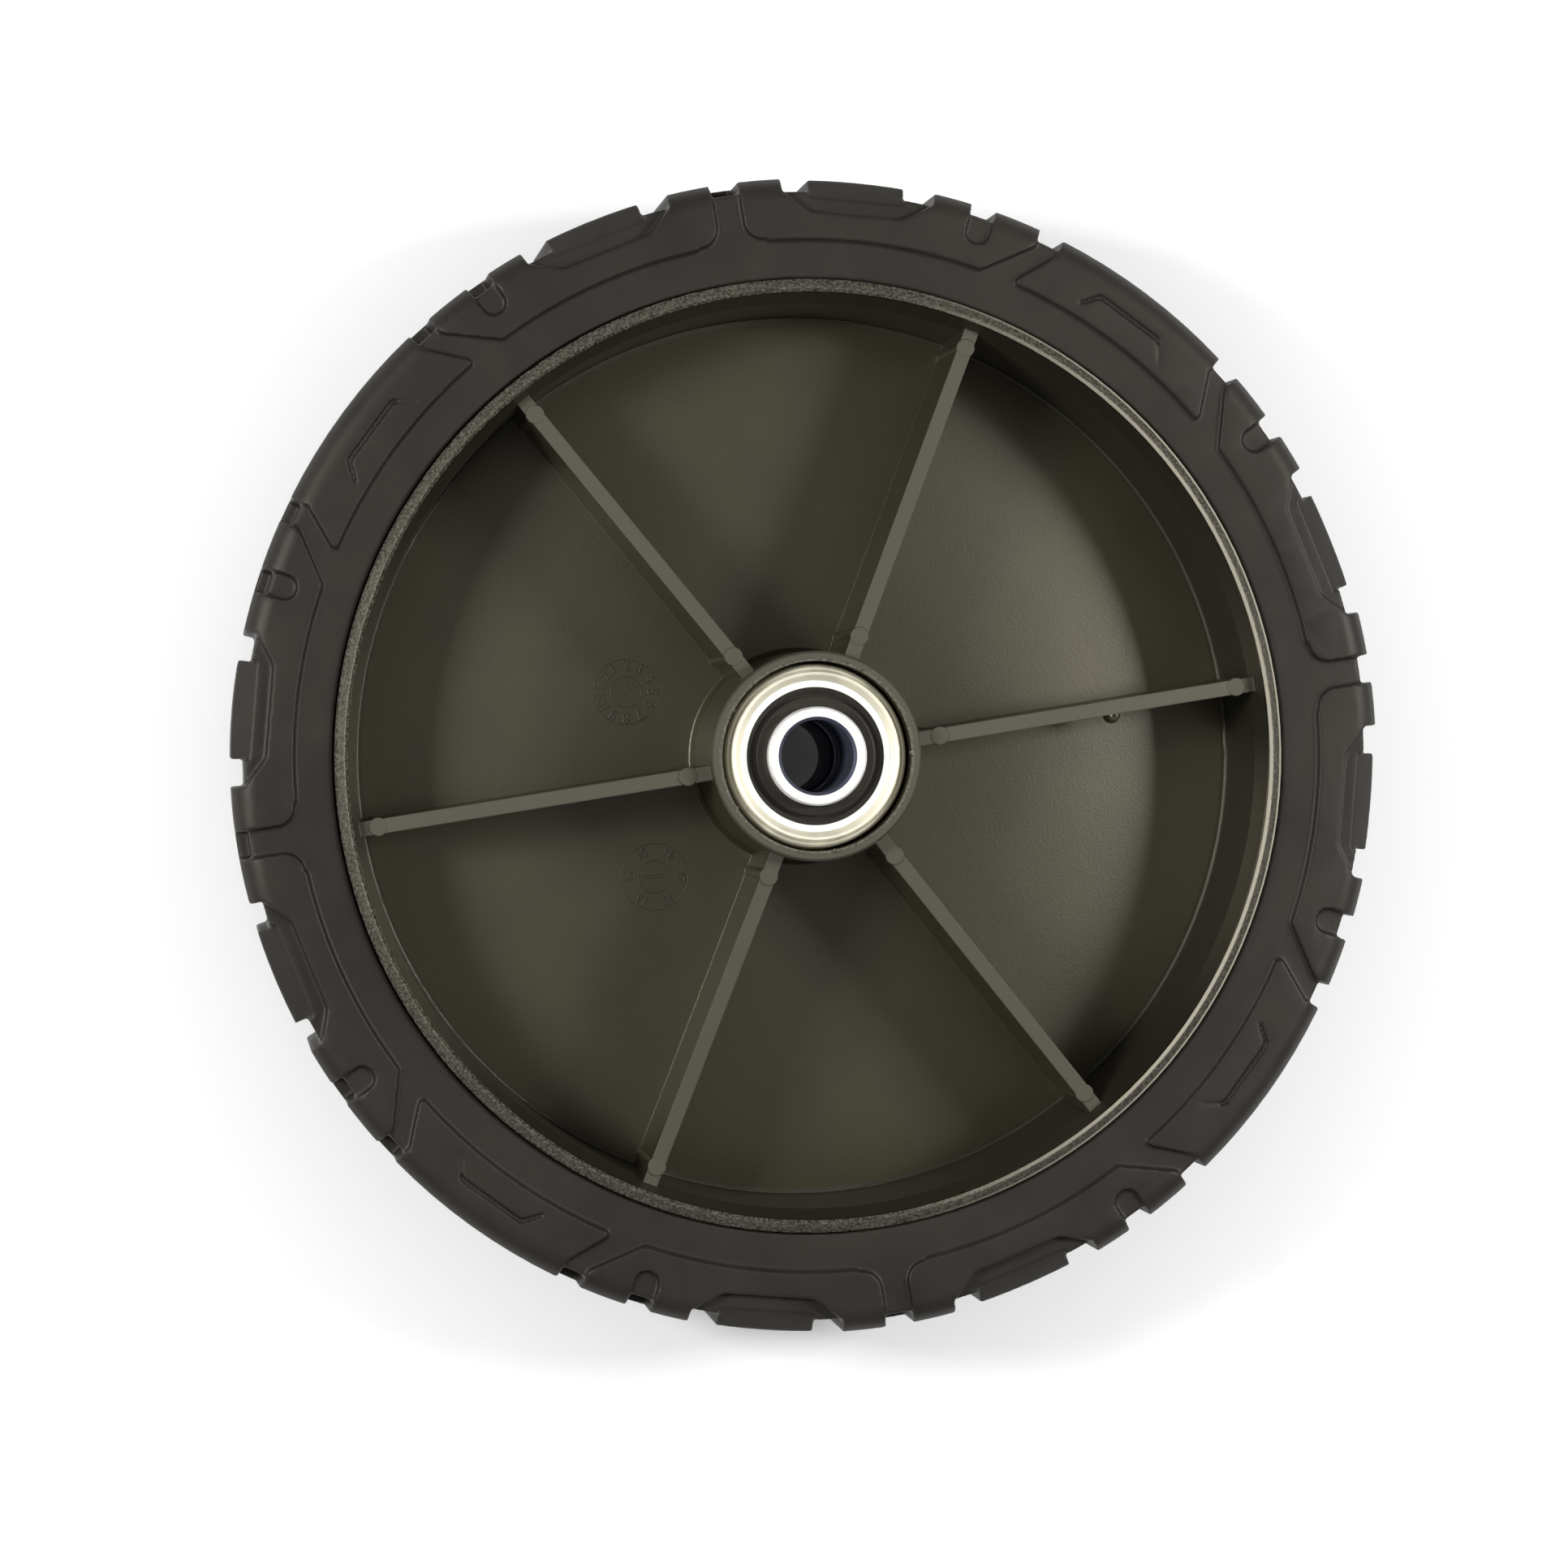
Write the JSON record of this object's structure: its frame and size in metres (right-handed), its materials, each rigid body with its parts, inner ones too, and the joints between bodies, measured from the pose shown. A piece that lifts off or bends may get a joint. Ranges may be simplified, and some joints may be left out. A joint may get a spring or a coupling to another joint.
{
  "type": "lawn mower wheel",
  "caption": "Solid-tyred plastic wheel with a ribbed dished rim and sealed ball bearings in its hub for a plain axle bolt.",
  "frame": {"origin": "on the axle bore's axis, in the middle plane of the tyre", "axes": "+Z along the axle bore, out of the ribbed face, which looks up as the wheel lies on its plain face"},
  "size_m": [0.2032, 0.2032, 0.0527],
  "materials": {
    "rim_plastic": "moulded, satin",
    "tyre_rubber": "moulded, matt",
    "casing_zinc": "zinc plated pressed steel",
    "race_steel": "ground steel",
    "ball_steel": "polished steel",
    "cage_steel": "pressed steel",
    "shield_steel": "pressed steel",
    "seal_rubber": "moulded, matt",
    "spacer_steel": "cut tube"
  },
  "bodies": {
    "wheel": {"rim": "rim_plastic", "tyre": "tyre_rubber", "front_bearing_casing": "casing_zinc", "front_outer_race": "race_steel", "front_seal": "seal_rubber", "front_inner_shield": "shield_steel", "rear_bearing_casing": "casing_zinc", "rear_outer_race": "race_steel", "rear_seal": "seal_rubber", "rear_inner_shield": "shield_steel"},
    "axle_core": {"front_inner_race": "race_steel", "spacer_tube": "spacer_steel", "rear_inner_race": "race_steel"},
    "front_ball_set": {"front_ball_cage": "cage_steel", "front_ball_1": "ball_steel", "front_ball_2": "ball_steel", "front_ball_3": "ball_steel", "front_ball_4": "ball_steel", "front_ball_5": "ball_steel", "front_ball_6": "ball_steel", "front_ball_7": "ball_steel"},
    "rear_ball_set": {"rear_ball_cage": "cage_steel", "rear_ball_1": "ball_steel", "rear_ball_2": "ball_steel", "rear_ball_3": "ball_steel", "rear_ball_4": "ball_steel", "rear_ball_5": "ball_steel", "rear_ball_6": "ball_steel", "rear_ball_7": "ball_steel"}
  },
  "joints": [
    {"name": "axle_spin", "type": "hinge", "parent": "wheel", "child": "axle_core", "pos_m": [0, 0, 0], "axis": [0, 0, 1], "continuous": true},
    {"name": "front_ball_orbit", "type": "hinge", "parent": "wheel", "child": "front_ball_set", "pos_m": [0, 0, 0.0214], "axis": [0, 0, 1], "continuous": true},
    {"name": "rear_ball_orbit", "type": "hinge", "parent": "wheel", "child": "rear_ball_set", "pos_m": [0, 0, -0.0144], "axis": [0, 0, 1], "continuous": true}
  ],
  "couplings": [
    {"joint": "front_ball_orbit", "follows": "axle_spin", "ratio": 0.3856},
    {"joint": "rear_ball_orbit", "follows": "axle_spin", "ratio": 0.3856}
  ]
}
